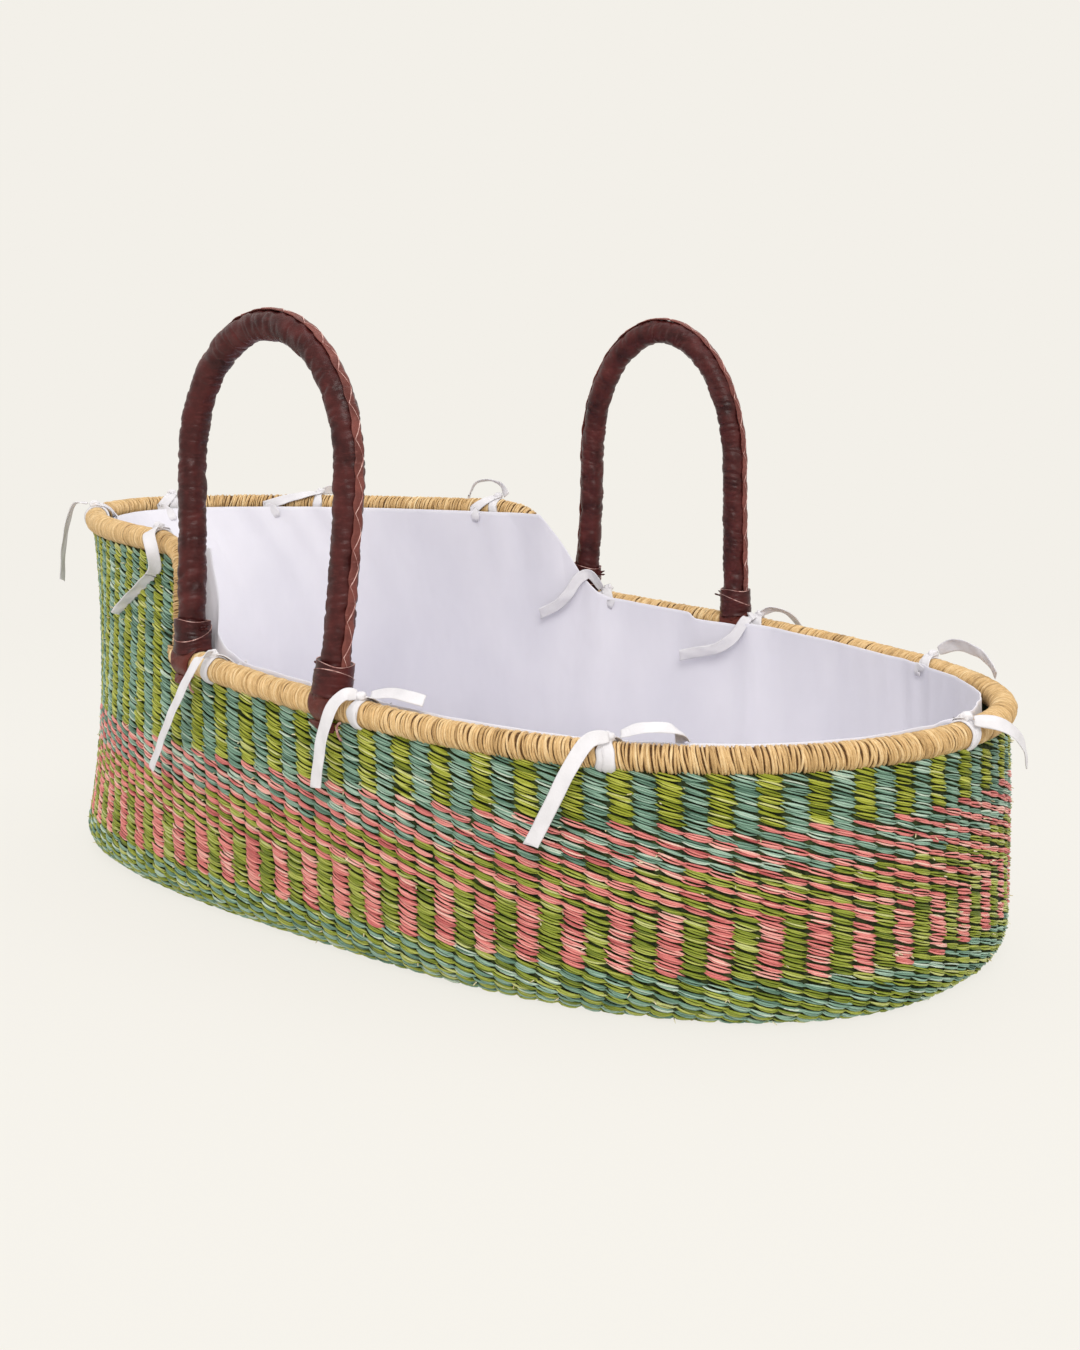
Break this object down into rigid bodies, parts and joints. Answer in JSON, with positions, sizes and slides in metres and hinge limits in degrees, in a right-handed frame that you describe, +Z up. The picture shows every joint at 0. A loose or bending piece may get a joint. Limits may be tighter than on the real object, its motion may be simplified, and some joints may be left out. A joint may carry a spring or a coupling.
{
  "type": "moses basket",
  "caption": "Oval woven grass baby basket with a raised hood, arched leather carrying handles that swing on the rim, a tied-in cotton liner and a mattress.",
  "frame": {"origin": "middle of the bounding box at the bottom of the woven base", "axes": "+X along the basket towards its foot end, +Z up, -Y towards the near handle"},
  "size_m": [0.8644, 0.4981, 0.4297],
  "materials": {
    "woven_grass": "matt twined grass",
    "straw": "satin dried grass",
    "rope": "matt rope",
    "dark_leather": "semi-gloss creased",
    "red_leather": "semi-gloss",
    "pale_leather": "cut edge, satin",
    "cotton": "smooth woven cotton",
    "foam": "open-cell foam"
  },
  "bodies": {
    "basket": {"woven_base": "woven_grass", "woven_wall": "woven_grass", "low_rim_core": "straw", "low_rim_wrap": "straw", "hood_rim_core": "straw", "hood_rim_wrap": "straw", "near_leather_tongues": "red_leather", "far_leather_tongues": "red_leather", "tongue_stitches": "dark_leather", "liner_wall": "cotton", "liner_floor": "cotton", "tie_loops": "cotton", "head_tip_tie_tail": "cotton", "near_head_tie_tail": "cotton", "far_head_tie_tail": "cotton", "near_hood_tie_tail": "cotton", "far_hood_tie_tail": "cotton", "near_mid_tie_tail": "cotton", "far_mid_tie_tail": "cotton", "near_side_tie_tail": "cotton", "near_side_tie_tail_2": "cotton", "far_side_tie_tail": "cotton", "far_side_tie_tail_2": "cotton", "near_foot_tie_tail": "cotton", "near_foot_tie_tail_2": "cotton", "far_foot_tie_tail": "cotton", "foot_tip_tie_tail": "cotton"},
    "near_handle": {"near_handle_core": "rope", "near_handle_leather": "dark_leather", "near_handle_lacing": "pale_leather", "near_head_collar": "dark_leather", "near_foot_collar": "dark_leather", "near_head_sleeve": "red_leather", "near_foot_sleeve": "red_leather", "near_thong_ends": "dark_leather"},
    "far_handle": {"far_handle_core": "rope", "far_handle_leather": "dark_leather", "far_handle_lacing": "pale_leather", "far_head_collar": "dark_leather", "far_foot_collar": "dark_leather", "far_head_sleeve": "red_leather", "far_foot_sleeve": "red_leather", "far_thong_ends": "dark_leather"},
    "mattress": {"mattress_foam": "foam", "mattress_cover": "cotton"}
  },
  "joints": [
    {"name": "near_handle_tilt", "type": "hinge", "parent": "basket", "child": "near_handle", "pos_m": [0.00727, -0.22275, 0.18226], "axis": [-0.9952, 0.0708, 0.0674], "range_deg": [-30, 50], "deforming": ["liner_wall"]},
    {"name": "far_handle_tilt", "type": "hinge", "parent": "basket", "child": "far_handle", "pos_m": [0.00727, 0.22275, 0.18226], "axis": [0.9952, 0.0708, -0.0674], "range_deg": [-30, 50], "deforming": ["liner_wall", "far_mid_tie_tail"]},
    {"name": "mattress_lift", "type": "slide", "parent": "basket", "child": "mattress", "axis": [0, 0, 1], "range_m": [0, 0.36]}
  ]
}
